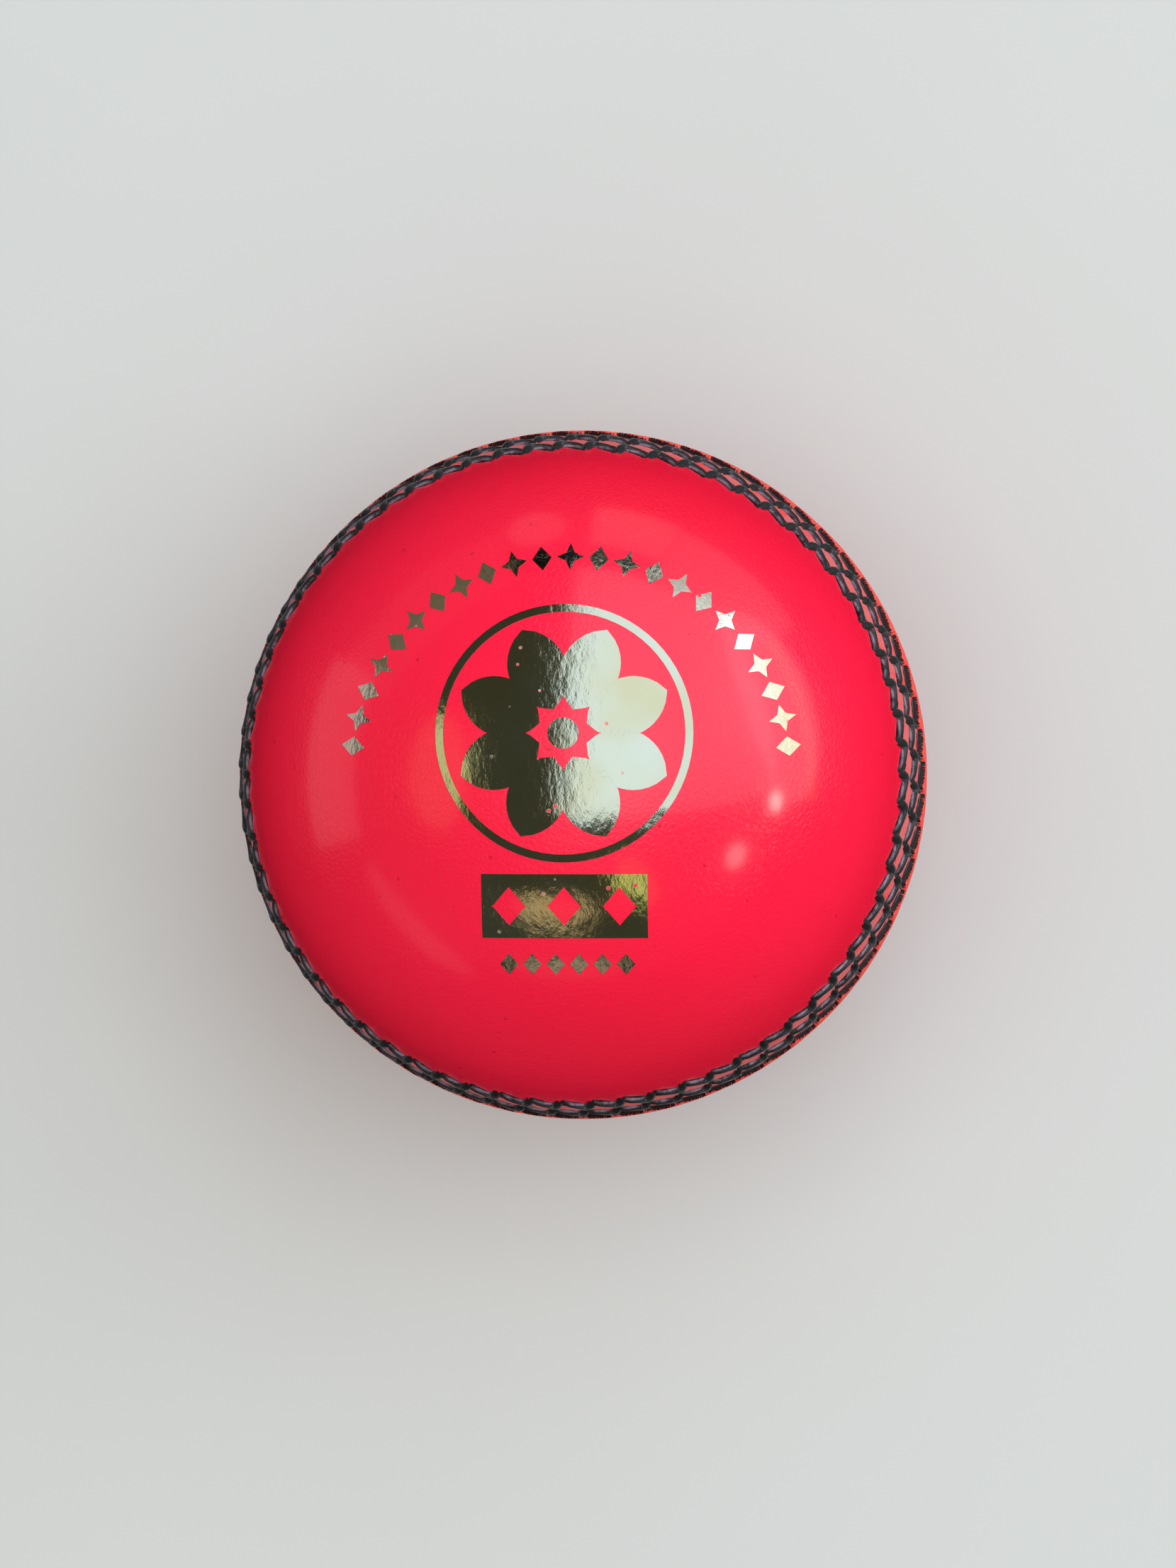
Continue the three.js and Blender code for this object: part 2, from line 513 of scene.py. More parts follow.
@dataclass(frozen=True)
class WaxedThread:
    """Black thread of five twisted strands under wax, with a painted sheen: grey-mauve where the light falls
    on its outer side and along each stitch's run, and black as painted shade at the hooks and on the side
    towards the equator.
    """

    black: Colour = (0.006, 0.005, 0.007)
    # the painted sheen: light caught by the wax, given as a grey-mauve colour
    wax: Colour = (0.27, 0.20, 0.26)
    twists: float = 1.3  # along one stitch
    strands: float = 5.0  # round the thread
    patch_scale: float = 900.0
    fibre_scale: float = 5200.0
    ply_depth: float = 0.05 * MM
    fibre_depth: float = 0.03 * MM

    def make(self) -> bpy.types.Material:
        """Builds the material, which reads the stitch's map: X along the thread and Y round it.

        Returns:
            The material.
        """
        graph = SurfaceGraph("waxed_thread", {"IOR": 1.5, "Sheen Weight": 0.25, "Sheen Roughness": 0.4})
        place = graph.place()
        stitch_map = graph.add("ShaderNodeUVMap", {"uv_map": "UVMap"})
        along = graph.add("ShaderNodeSeparateXYZ", {}, {"Vector": stitch_map})
        around = along.output("Y")
        ply = (along * (self.twists * TAU) + around * (self.strands * TAU)).sine() * 0.5 + 0.5
        fibres = graph.noise(place, self.fibre_scale, 3.0, 0.65)
        patches = graph.noise(place, self.patch_scale, 2.0)
        # Painted sheen on the outer side and along the run only: the side towards the equator and the hooks
        # keep the thread's black as painted shade.
        outward = around.step(0.42, 0.28) + around.step(0.94, 0.99)
        lit_run = along.step(0.24, 0.42) * along.step(0.90, 0.62) * outward
        painted_sheen = lit_run * (patches + fibres * 0.6).step(0.55, 0.95) * (0.15 + ply.step(0.30, 0.85) * 0.85)
        graph.feed(
            Base_Color=graph.mix(painted_sheen, self.black, self.wax),
            Roughness=0.60 - painted_sheen * 0.28 - fibres * 0.1,
        )
        graph.relief((ply, self.ply_depth), (fibres, self.fibre_depth))
        return graph.material


@dataclass(frozen=True)
class StampingFoil:
    """Pale gold hot-stamping foil: a mirror with fine wrinkles and pits where it did not take."""

    gold: Colour = (0.93, 0.86, 0.72)
    warm: Colour = (0.90, 0.74, 0.48)
    bare: Colour = (0.80, 0.02, 0.05)
    tone_scale: float = 90.0
    wave_scale: float = 150.0
    pit_scale: float = 420.0
    wrinkle_scale: float = 1100.0
    wave_depth: float = 0.12 * MM
    wrinkle_depth: float = 0.05 * MM

    def make(self) -> bpy.types.Material:
        """Builds the material.

        Returns:
            The material.
        """
        graph = SurfaceGraph("stamping_foil", {"IOR": 1.5})
        place = graph.place()
        tone = graph.noise(place, self.tone_scale, 2.0)
        waves = graph.noise(place, self.wave_scale, 2.0)
        pits = graph.cells(place, self.pit_scale).step(0.11, 0.07) * waves.step(0.5, 0.62)
        drawn = graph.stretched(place, (1.0, 0.45, 1.0), (0.0, 0.0, 0.5))
        wrinkles = graph.noise(drawn, self.wrinkle_scale, 5.0, 0.6)
        foil = graph.mix(tone.step(0.35, 0.7), self.gold, self.warm)
        graph.feed(
            Base_Color=graph.mix(pits, foil, self.bare),
            Metallic=1.0 - pits,
            Roughness=0.07 + wrinkles * 0.08 + pits * 0.3,
        )
        graph.relief((waves, self.wave_depth), (wrinkles, self.wrinkle_depth))
        return graph.material


@dataclass(frozen=True)
class NaturalCork:
    """Granular sheet cork, from pale granules to dark bark specks."""

    name: str = "natural_cork"
    pale: Colour = (0.52, 0.31, 0.15)
    mid: Colour = (0.40, 0.22, 0.10)
    bark: Colour = (0.10, 0.045, 0.02)
    granules: float = 750.0
    roughness: float = 0.85
    fine_scale: float = 2400.0
    granule_depth: float = 0.10 * MM
    fine_depth: float = 0.04 * MM

    def make(self) -> bpy.types.Material:
        """Builds the material.

        Returns:
            The material.
        """
        graph = SurfaceGraph(self.name, {"Roughness": self.roughness})
        place = graph.place()
        cells = graph.add("ShaderNodeTexVoronoi", {}, {"Vector": place, "Scale": self.granules}, "Color")
        tone = graph.add("ShaderNodeSeparateColor", {}, {"Color": cells})
        fine = graph.noise(place, self.fine_scale, 3.0)
        body = graph.mix(tone, self.mid, self.pale)
        body = graph.mix(tone.output("Green").step(0.8, 0.9), body, self.bark)
        edges = graph.cells(place, self.granules, "DISTANCE_TO_EDGE").step(0.0, 0.12)
        graph.feed(Base_Color=graph.mix(edges * 0.85 + fine * 0.15, self.bark, body))
        graph.relief((edges, self.granule_depth), (fine, self.fine_depth))
        return graph.material


@dataclass(frozen=True)
class WoolYarn:
    """Undyed worsted yarn with loose fibres."""

    wool: Colour = (0.68, 0.60, 0.46)
    shade: Colour = (0.44, 0.36, 0.25)
    dirt_scale: float = 140.0
    fibre_scale: float = 3200.0
    fibre_depth: float = 0.06 * MM

    def make(self) -> bpy.types.Material:
        """Builds the material.

        Returns:
            The material.
        """
        graph = SurfaceGraph("wool_yarn", {"Roughness": 0.95, "Sheen Weight": 0.5})
        place = graph.place()
        fibres = graph.noise(graph.stretched(place, (1.0, 1.0, 0.3)), self.fibre_scale, 4.0, 0.7)
        dirt = graph.noise(place, self.dirt_scale, 2.0)
        graph.feed(Base_Color=graph.mix(fibres.step(0.3, 0.7) * 0.7 + dirt * 0.3, self.shade, self.wool))
        graph.relief((fibres, self.fibre_depth))
        return graph.material


@dataclass(frozen=True)
class PaleFloor:
    """The plain floor that the ball lies on."""

    colour: Colour = (0.58, 0.58, 0.57)
    tone_scale: float = 25.0

    def make(self) -> bpy.types.Material:
        """Builds the material.

        Returns:
            The material.
        """
        graph = SurfaceGraph("pale_floor", {"Roughness": 0.9, "Specular IOR Level": 0.1})
        tone = graph.noise(graph.place(), self.tone_scale, 3.0)
        lighter = tuple(channel * 1.03 for channel in self.colour)
        graph.feed(Base_Color=graph.mix(tone, self.colour, lighter))
        return graph.material


# ---------------------------------------------------------------- the seam's layout


@dataclass
class Seam:
    """The rule that the stitches and the leather beside them both follow.

    A place on the ball is its arc, the distance from the equator in metres, and its turn about Z.
    """

    stitches: int = 66
    lean: float = 0.62 * MM
    radius: float = field(init=False)
    arcs: dict[StitchLine, float] = field(init=False)

    def __post_init__(self) -> None:
        """Takes the ball's radius and the rows' places from the frame."""
        self.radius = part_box("leather_cup_upper")[1].z
        self.arcs = {line: self._arc_of(line) for line in StitchLine}

    def _arc_of(self, line: StitchLine) -> float:
        """The distance of a row's middle from the equator, along the ball."""
        low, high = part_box(line.node(Side.UPPER))
        return self.radius * math.asin((low.z + high.z) / 2 / self.radius)

    def pitch(self, line: StitchLine) -> float:
        """The length of one stitch of a row."""
        return TAU * self.radius * math.cos(self.arcs[line] / self.radius) / self.stitches


# ---------------------------------------------------------------- the leather cover


@dataclass
class RingSurface:
    """A surface of revolution, built ring by ring. A ring may have half or twice the points of the last."""

    points: list[np.ndarray] = field(default_factory=list)
    faces: list[Face] = field(default_factory=list)
    count: int = 0
    last: tuple[int, int] | None = None

    def ring(self, columns: int, arc: float, radius: float, ball: float) -> None:
        """Adds a ring and joins it to the last one.

        Args:
            columns: how many points it has, or 1 for a pole.
            arc: its distance from the equator along a ball of the size given, in metres.
            radius: its points' distance from the ball's centre.
            ball: the radius that turns the arc into a latitude.
        """
        turns = np.arange(columns) * TAU / columns
        latitude = arc / ball
        flat = radius * math.cos(latitude) if columns > 1 else 0.0
        height = np.full(columns, radius * math.sin(latitude))
        start = self.count
        self.points.append(np.stack([flat * np.cos(turns), flat * np.sin(turns), height], 1))
        self.count += columns
        if self.last:
            self._join(self.last, (start, columns))
        self.last = (start, columns)

    def _join(self, old: tuple[int, int], new: tuple[int, int]) -> None:
        """Fills between two rings, whichever has more points.

        Args:
            old: the number of one ring's first point, and how many points it has.
            new: the same of the next ring.
        """
        (a, n), (b, m) = old, new
        if n == m:
            self.faces += [(a + i, a + (i + 1) % n, b + (i + 1) % n, b + i) for i in range(n)]
        elif m == 1:
            self.faces += [(a + i, a + (i + 1) % n, b) for i in range(n)]
        elif n == 1:
            self.faces += [(a, b + (i + 1) % m, b + i) for i in range(m)]
        elif n > m:
            for i in range(m):
                p, q, r = a + 2 * i, a + 2 * i + 1, a + (2 * i + 2) % n
                s, t = b + i, b + (i + 1) % m
                self.faces += [(p, q, s), (q, t, s), (q, r, t)]
        else:
            for i in range(n):
                p, q, r = b + 2 * i, b + 2 * i + 1, b + (2 * i + 2) % m
                s, t = a + i, a + (i + 1) % n
                self.faces += [(s, q, p), (s, t, q), (t, r, q)]


@dataclass
class LeatherCup:
    """One half of the cover: a moulded leather bowl whose rim is pressed in by three rows of stitches."""

    side: Side
    seam: Seam
    columns_per_stitch: int = 16  # a multiple of 8, so that the rings can halve on their way to the pole
    ring_step: float = 0.165 * MM
    seam_end: float = 11.9 * MM
    face_rings: int = 34
    inner_rings: int = 22
    groove_half_width: float = 0.42 * MM
    groove_gap: float = 0.14 * MM  # more on the side of the equator, where the thread pulls the leather open
    groove_wall: float = 0.30 * MM
    wax_shade_reach: float = 1.30 * MM  # how far the wax and the painted shade beside the thread spread from a row towards the equator
    groove_floor: float = -0.46 * MM
    primary_floor: float = -0.80 * MM
    crumple: float = 0.13 * MM
    crumple_scale: float = 700.0
    pucker: float = 0.16 * MM
    joint_share: float = 0.2  # how much of the frame's joint stays open between the two lips
    bridge_turn: float = 0.35  # where the lip crosses the primary groove, as an angle within a stitch
    bridge_height: float = 0.8  # the share of the lip's height that stays there
    wax_shade_edge: float = 0.35 * MM
    wax_shade_ragged: float = 0.5 * MM
    primary_wax_shade: float = 2.65  # the reach of the wax and the painted shade in the slit beside the lip, in half widths of the groove
    primary_ragged: float = 0.2 * MM
    bead_turn: float = 0.45  # where the leather puckers beside a hole, as an angle within a stitch
    bead_arc: float = 1.05 * MM  # from the row towards the face

    # The rings across the leather's edge at the joint: points for each stitch, and share of the way out.
    JOINT_RINGS = [(4, 0.3), (8, 0.6), (16, 0.8)]
    # The height of the leather over the ball before it is stitched, by distance from the equator, in mm.
    PROFILE = [
        (0.0, 0.12), (0.18, 0.36), (0.45, 0.58), (0.9, 0.68), (1.75, 0.67),
        (2.7, 0.42), (3.5, 0.17), (4.6, 0.16), (6.35, 0.18), (8.2, 0.13),
        (9.3, 0.16), (10.0, 0.12), (10.6, 0.05), (11.3, 0.01), (12.0, 0.0),
    ]

    def base(self) -> bpy.types.Mesh:
        """Makes the unstitched bowl.

        Returns:
            A mesh that holds each point's arc and turn, and what part of the leather it is.
        """
        ball = self.seam.radius
        inner_radius, _ = radii_of("leather_cup_upper")
        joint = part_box("leather_cup_upper")[0].z * self.joint_share
        fine = self.seam.stitches * self.columns_per_stitch
        surface = RingSurface()
        marks: list[tuple[float, float, float]] = []

        def ring(columns: int, arc: float, radius: float, relief: float, suede: float) -> None:
            """Adds a ring whose points share their marks."""
            surface.ring(columns, arc, radius, ball)
            marks.extend([(arc, relief, suede)] * columns)

        pole = ball * math.pi / 2
        inner_joint = ball * math.asin(joint / inner_radius)
        ring(1, pole, inner_radius, 0.0, 1.0)
        for step in range(1, self.inner_rings + 1):
            share = step / self.inner_rings
            columns = self.seam.stitches if share < 0.2 else 2 * self.seam.stitches
            ring(columns, pole + (inner_joint - pole) * share, inner_radius, 0.0, 1.0)
        for factor, share in self.JOINT_RINGS:
            radius = inner_radius + (ball - inner_radius) * share
            ring(factor * self.seam.stitches, ball * math.asin(joint / radius), radius, 0.0, 1.0)
        for arc in np.arange(joint, self.seam_end, self.ring_step):
            ring(fine, float(arc), ball, 1.0, 0.0)
        ring(fine // 2, self.seam_end + self.ring_step, ball, 0.0, 0.0)
        face_start = self.seam_end + 4 * self.ring_step
        for step in range(self.face_rings):
            share = step / self.face_rings
            columns = fine // 4 if share < 0.7 else fine // 8 if share < 0.9 else fine // 16
            ring(columns, face_start + (pole - face_start) * share, ball, 0.0, 0.0)
        ring(1, pole, ball, 0.0, 0.0)

        points = np.concatenate(surface.points)
        mesh = mesh_of("cup", points, surface.faces)
        arc, relief, suede = np.array(marks).T
        set_number(mesh, "arc", arc)
        set_number(mesh, "turn", np.arctan2(points[:, 1], points[:, 0]))
        set_number(mesh, "relief", relief)
        set_number(mesh, "suede", suede)
        return mesh

    def tree(self, material: bpy.types.Material) -> ShapeGraph:
        """The rule that presses the stitches into the rim.

        Args:
            material: the leather.

        Returns:
            The tree, which begins from the unstitched bowl.
        """
        sizes = {
            "Stitches": self.seam.stitches,
            "Lean": self.seam.lean,
            "Groove Half Width": self.groove_half_width,
            "Groove Gap": self.groove_gap,
            "Groove Wall": self.groove_wall,
            "Wax Shade Reach": self.wax_shade_reach,
            "Crumple": self.crumple,
            "Pucker": self.pucker,
        }
        graph = ShapeGraph(f"pressed_rim_{self.side.word}", sizes)
        named = {
            name: graph.add("GeometryNodeInputNamedAttribute", {"data_type": "FLOAT"}, {"Name": name})
            for name in ("arc", "turn", "relief")
        }
        arc, turn, relief = named["arc"], named["turn"], named["relief"]
        place = graph.add("GeometryNodeInputPosition")
        end = self.PROFILE[-1][0]
        points = [(distance / end, height) for distance, height in self.PROFILE]
        rest = graph.add("ShaderNodeFloatCurve", {"points": points}, {"Value": arc / (end * MM)}) * MM
        folds = graph.noise(place, self.crumple_scale, 3.0, 0.6) - 0.5
        height = rest + folds * graph.size("Crumple")
        half, wall = graph.size("Groove Half Width"), graph.size("Groove Wall")
        beads, wax_and_shade, across = None, None, arc
        for line in StitchLine:
            middle = self.seam.arcs[line]
            swing = turn * graph.size("Stitches") + line.value * TAU
            across = arc - middle - self.lean_of(swing) * graph.size("Lean")
            near = (half + graph.size("Groove Gap") + across) / wall
            far = (half - across) / wall
            pressed = (near + 1.0).step(0.0, 1.0) * (far + 1.0).step(0.0, 1.0)
            floor, reach, ragged = self.groove_floor, graph.size("Wax Shade Reach"), self.wax_shade_ragged
            whole: Value | float = 1.0
            if line is StitchLine.PRIMARY:
                whole = 1.0 - (swing + self.bridge_turn).cosine().step(0.90, 0.985) * self.bridge_height
                floor, reach, ragged = self.primary_floor, half * self.primary_wax_shade, self.primary_ragged
            height = height * (1.0 - pressed * whole) + pressed * whole * floor
            # Each row's band towards the equator is wax in the groove together with painted shade: the crease
            # beside the thread, and the primary row's shadowed slit.
            spread = (across + reach + folds * ragged) / self.wax_shade_edge
            wax_shade_mask = spread.step(0.0, 1.0) * (far + 0.9).step(0.0, 1.0) * whole
            wax_and_shade = wax_shade_mask if wax_and_shade is None else wax_and_shade.math("MAXIMUM", wax_shade_mask)
            bead = (swing - self.bead_turn).cosine().step(0.90, 0.995)
            beside = (arc - (middle + self.bead_arc)).absolute().step(0.42 * MM, 0.1 * MM)
            beads = bead * beside if beads is None else beads + bead * beside
        height = height + beads * graph.size("Pucker")
        outward = graph.add("ShaderNodeVectorMath", {"operation": "NORMALIZE"}, {0: place})
        lift = {0: outward, "Scale": height * relief}
        shift = graph.add("ShaderNodeVectorMath", {"operation": "SCALE"}, lift)
        sockets = {"Geometry": graph.entry_geometry(), "Offset": shift}
        moved = graph.add("GeometryNodeSetPosition", {}, sockets)
        strip = across.step(0.45 * MM, 0.2 * MM) * relief
        for name, number in (("seam", strip), ("gloss", beads * relief), ("wax_and_shade", wax_and_shade * relief)):
            moved = graph.add(
                "GeometryNodeStoreNamedAttribute",
                {"data_type": "FLOAT", "domain": "POINT"},
                {"Geometry": moved, "Name": name, "Value": number},
            )
        graph.finish(moved, material)
        return graph

    @staticmethod
    def lean_of(swing: Value) -> Value:
        """A softened saw from 1 to -1: slow towards the equator, then quickly back."""
        return (swing.sine() + (swing * 2.0).sine() * 0.45 + (swing * 3.0).sine() * 0.2) * 0.76

    def build(self, material: bpy.types.Material) -> bpy.types.Object:
        """Makes the cup and puts it in its node's place.

        Args:
            material: the leather.

        Returns:
            The cup.
        """
        name = f"leather_{self.side.word}"
        piece = self.tree(material).bake(name, self.base())
        piece.data.transform(Matrix.Rotation(self.side.value, 4, "X"))
        settle(piece, "leather", f"leather_cup_{self.side.word}")
        return piece


# ---------------------------------------------------------------- the stitching


def tube_mesh(name: str, path: np.ndarray, radii: np.ndarray, sides: int) -> bpy.types.Mesh:
    """A capped tube with a UV map that runs along it and round it.

    Args:
        name: the mesh's name.
        path: the points that it follows, in metres.
        radii: its radius at each point.
        sides: how many sides it has.

    Returns:
        The mesh.
    """
    forward = np.gradient(path, axis=0)
    forward /= np.linalg.norm(forward, axis=1)[:, None]
    across = np.cross(forward[0], (1.0, 0.3, 0.0))
    rings = []
    for point, ahead, radius in zip(path, forward, radii):
        across = across - ahead * (across @ ahead)
        across /= np.linalg.norm(across)
        up = np.cross(ahead, across)
        angles = np.arange(sides) * TAU / sides
        rings.append(point + radius * (np.outer(np.cos(angles), across) + np.outer(np.sin(angles), up)))
    faces, corners = [], []
    steps = len(path) - 1
    for i in range(steps):
        for j in range(sides):
            a, b = i * sides, (i + 1) * sides
            faces.append((a + j, a + (j + 1) % sides, b + (j + 1) % sides, b + j))
            near, far, low, high = i / steps, (i + 1) / steps, j / sides, (j + 1) / sides
            corners += [(near, low), (near, high), (far, high), (far, low)]
    faces += [tuple(reversed(range(sides))), tuple(steps * sides + j for j in range(sides))]
    corners += [(0.0, 0.5)] * sides + [(1.0, 0.5)] * sides
    mesh = mesh_of(name, np.concatenate(rings), faces)
    layer = mesh.uv_layers.new(name="UVMap")
    layer.data.foreach_set("uv", np.asarray(corners, np.float32).ravel())
    return mesh


@dataclass
class StitchRow:
    """One row of one half: waxed thread that comes up through a hole, lies along the row and goes down."""

    side: Side
    line: StitchLine
    seam: Seam
    thread_radius: float = 0.52 * MM
    sides: int = 8
    place_spread: float = 0.18 * MM
    tilt_spread: float = 0.12
    length_spread: float = 0.03
    place_spread_across: float = 0.6  # of the spread along the row

    # One stitch, clockwise as a share of the pitch, then across towards the face and over the ball in mm.
    PATH = [
        (0.00, 0.84, -0.60), (0.02, 0.70, -0.05), (0.06, 0.30, 0.17), (0.12, -0.22, 0.23),
        (0.20, -0.60, 0.20), (0.34, -0.60, 0.16), (0.54, -0.28, 0.15), (0.74, 0.12, 0.13),
        (0.90, 0.46, 0.0), (0.99, 0.66, -0.26), (1.02, 0.76, -0.60),
    ]
    # How far the row's threads lie above or below the one in the middle row, in mm.
    LIFT = {StitchLine.PRIMARY: -0.45, StitchLine.MIDDLE: -0.06, StitchLine.OUTER: -0.12}
    # How thick the thread is along the path, where the two ends in a hole crowd each other and after it.
    GIRTH = (0.85, 1.0, 1.1, 1.14, 1.1, 1.02, 0.96, 0.94, 0.94, 0.92, 0.8)
    STEP_BACK = 0.085  # where in a stitch the leather's groove steps back, as a share of the pitch

    def stitch(self) -> bpy.types.Mesh:
        """Makes one stitch about its own middle.

        Returns:
            A mesh with +X out of the ball, +Y counter-clockwise and +Z towards the face.
        """
        radius = self.seam.radius
        pitch = self.seam.pitch(self.line)
        along, across, height = np.array(self.PATH).T
        turn = (0.5 - along) * pitch / radius
        tilt = across * MM / radius
        reach = radius + (height + self.LIFT[self.line]) * MM
        flat = reach * np.cos(tilt)
        path = np.stack([flat * np.cos(turn) - radius, flat * np.sin(turn), reach * np.sin(tilt)], 1)
        return tube_mesh("stitch", path, self.thread_radius * np.array(self.GIRTH), self.sides)

    def tree(self, material: bpy.types.Material) -> ShapeGraph:
        """The rule that sets the stitches round the ball, each a little off its place.

        Args:
            material: the thread.

        Returns:
            The tree, which begins from one stitch.
        """
        seed = 10 * list(StitchLine).index(self.line) + list(Side).index(self.side)
        sizes = {
            "Stitches": self.seam.stitches,
            "Ball Radius": self.seam.radius,
            "Arc": self.seam.arcs[self.line],
            "Place Spread": self.place_spread,
            "Tilt Spread": self.tilt_spread,
        }
        graph = ShapeGraph(f"{self.line.name.lower()}_row_{self.side.word}", sizes)
        radius = graph.size("Ball Radius")
        nudge = graph.size("Place Spread") / radius
        latitude = graph.size("Arc") / radius + graph.random(self.place_spread_across, seed) * nudge
        share = graph.add("GeometryNodeInputIndex") - (self.line.value + 0.5 - self.STEP_BACK)
        turn = share * TAU / graph.size("Stitches") + graph.random(1.0, seed + 100) * nudge
        flat = latitude.cosine()
        ahead, aside = flat * turn.cosine(), flat * turn.sine()
        place = graph.vector(ahead * radius, aside * radius, latitude.sine() * radius)
        tilt = graph.random(1.0, seed + 200) * graph.size("Tilt Spread")
        sockets = {"Count": graph.size("Stitches"), "Position": place}
        points = graph.add("GeometryNodePoints", {}, sockets)
        placed = {
            "Points": points,
            "Instance": graph.entry_geometry(),
            "Rotation": graph.vector(tilt, 0.0 - latitude, turn),
            "Scale": graph.vector(1.0, 1.0 + graph.random(self.length_spread, seed + 300), 1.0),
        }
        graph.finish(graph.add("GeometryNodeInstanceOnPoints", {}, placed), material)
        return graph

    def build(self, material: bpy.types.Material) -> bpy.types.Object:
        """Makes the row and puts it in its node's place.

        Args:
            material: the thread.

        Returns:
            The row.
        """
        name = f"{self.line.name.lower()}_stitches_{self.side.word}"
        piece = self.tree(material).bake(name, self.stitch())
        piece.data.transform(Matrix.Rotation(self.side.value, 4, "X"))
        settle(piece, "thread", self.line.node(self.side))
        return piece


# ---------------------------------------------------------------- the foil stamp


@dataclass
class FoilStamp:
    """A generic gilt stamp on the upper cup, made of thin foil that follows the ball.

    Sizes are those of the flat stamp, in mm, and the stamp is pressed on along its own axis.
    """

    seam: Seam
    shift: float = 1.7  # from the pole towards +X
    rise: float = 0.03
    thickness: float = 0.06
    arc_radius: float = 22.6
    arc_from: float = math.radians(172)
    arc_to: float = math.radians(8)
    arc_marks: int = 23
    mark_height: float = 2.5
    medallion_middle: tuple[float, float] = (-0.4, 4.5)
    medallion_radius: float = 13.2
    ring_width: float = 0.8
    petals: int = 8
    petal_reach: tuple[float, float] = (2.6, 11.4)
    petal_width: float = 6.0
    boss_radius: float = 1.6
    bar_middle: tuple[float, float] = (-0.4, -13.2)
    bar_size: tuple[float, float] = (17.0, 6.6)
    bar_holes: int = 3
    hole_share: float = 0.30  # half a hole, of its share of the bar
    row_middle: tuple[float, float] = (-0.2, -19.2)
    row_length: float = 14.4
    row_marks: int = 6
    crease_angle: float = math.radians(35)

    def ruled(self, low: np.ndarray, high: np.ndarray, across: int = 2) -> Sheet:
        """Fills between two curves with the same number of points.

        Args:
            low: one curve.
            high: the other.
            across: how many faces there are from one to the other.

        Returns:
            The points and faces.
        """
        shares = np.linspace(0, 1, across + 1)[:, None, None]
        grid = low[None] * (1 - shares) + high[None] * shares
        count = len(low)
        faces = [
            (row * count + i, row * count + i + 1, (row + 1) * count + i + 1, (row + 1) * count + i)
            for row in range(across)
            for i in range(count - 1)
        ]
        return grid.reshape(-1, 2), faces

    def lozenge(self, width: float, height: float, steps: int = 4) -> Curves:
        """Draws a lozenge about the origin.

        Args:
            width: from its left corner to its right one.
            height: from its lower corner to its upper one.
            steps: how many faces there are along half of it.

        Returns:
            Its lower and upper edges.
        """
        x = np.linspace(-width / 2, width / 2, 2 * steps + 1)
        edge = (1 - np.abs(x) * 2 / width) * height / 2
        return np.stack([x, -edge], 1), np.stack([x, edge], 1)

    def star(self, reach: float, points: int = 4, waist: float = 0.44) -> Curves:
        """Draws a star with straight sides.

        Args:
            reach: from its middle to a tip.
            points: how many tips it has.
            waist: how far in it goes between two tips, as a share of its reach.

        Returns:
            Its middle, repeated, and its outline.
        """
        angles = np.arange(2 * points + 1) * math.pi / points + math.pi / 2
        reaches = np.where(np.arange(2 * points + 1) % 2, reach * waist, reach)
        outline = np.stack([reaches * np.cos(angles), reaches * np.sin(angles)], 1)
        return outline * 0.0, outline

    def circle(self, radius: float, steps: int = 72) -> np.ndarray:
        """A whole circle, first point repeated at the end."""
        angles = np.linspace(0, TAU, steps + 1)
        return np.stack([radius * np.cos(angles), radius * np.sin(angles)], 1)

    def petal(self, steps: int = 14) -> Curves:
        """Draws a petal along +X.

        Args:
            steps: how many faces there are along it.

        Returns:
            Its two edges, each the arc of a circle.
        """
        near, far = self.petal_reach
        half, bulge = (far - near) / 2, self.petal_width / 2
        radius = (half**2 + bulge**2) / (2 * bulge)
        x = np.linspace(-half, half, steps + 1)
        edge = np.sqrt(radius**2 - x**2) - (radius - bulge)
        x = x + (near + far) / 2
        return np.stack([x, -edge], 1), np.stack([x, edge], 1)

    def placed(self, curves: Curves, turn: float, middle: tuple[float, float]) -> Curves:
        """Two curves turned about the origin and then moved."""
        spin = np.array([[math.cos(turn), math.sin(turn)], [-math.sin(turn), math.cos(turn)]])
        return tuple(curve @ spin + np.array(middle) for curve in curves)

    def arch(self) -> list[Sheet]:
        """Sets lozenges and stars by turns along an arch.

        Returns:
            The marks.
        """
        sheets = []
        for place in range(self.arc_marks):
            angle = self.arc_from + (self.arc_to - self.arc_from) * place / (self.arc_marks - 1)
            middle = (self.arc_radius * math.cos(angle), self.arc_radius * math.sin(angle))
            if place % 2:
                mark = self.star(self.mark_height * 0.56)
            else:
                mark = self.lozenge(self.mark_height * 0.8, self.mark_height)
            sheets.append(self.ruled(*self.placed(mark, angle - math.pi / 2, middle)))
        return sheets

    def medallion(self) -> list[Sheet]:
        """Draws a thin ring round eight petals and a boss.

        Returns:
            The ring, the boss and the petals.
        """
        rings = (self.circle(self.medallion_radius - self.ring_width), self.circle(self.medallion_radius))
        boss = self.circle(self.boss_radius, 24)
        sheets = [
            self.ruled(*self.placed(rings, 0.0, self.medallion_middle)),
            self.ruled(*self.placed((boss * 0.0, boss), 0.0, self.medallion_middle)),
        ]
        for place in range(self.petals):
            turn = (place + 0.5) * TAU / self.petals
            sheets.append(self.ruled(*self.placed(self.petal(), turn, self.medallion_middle), 6))
        return sheets

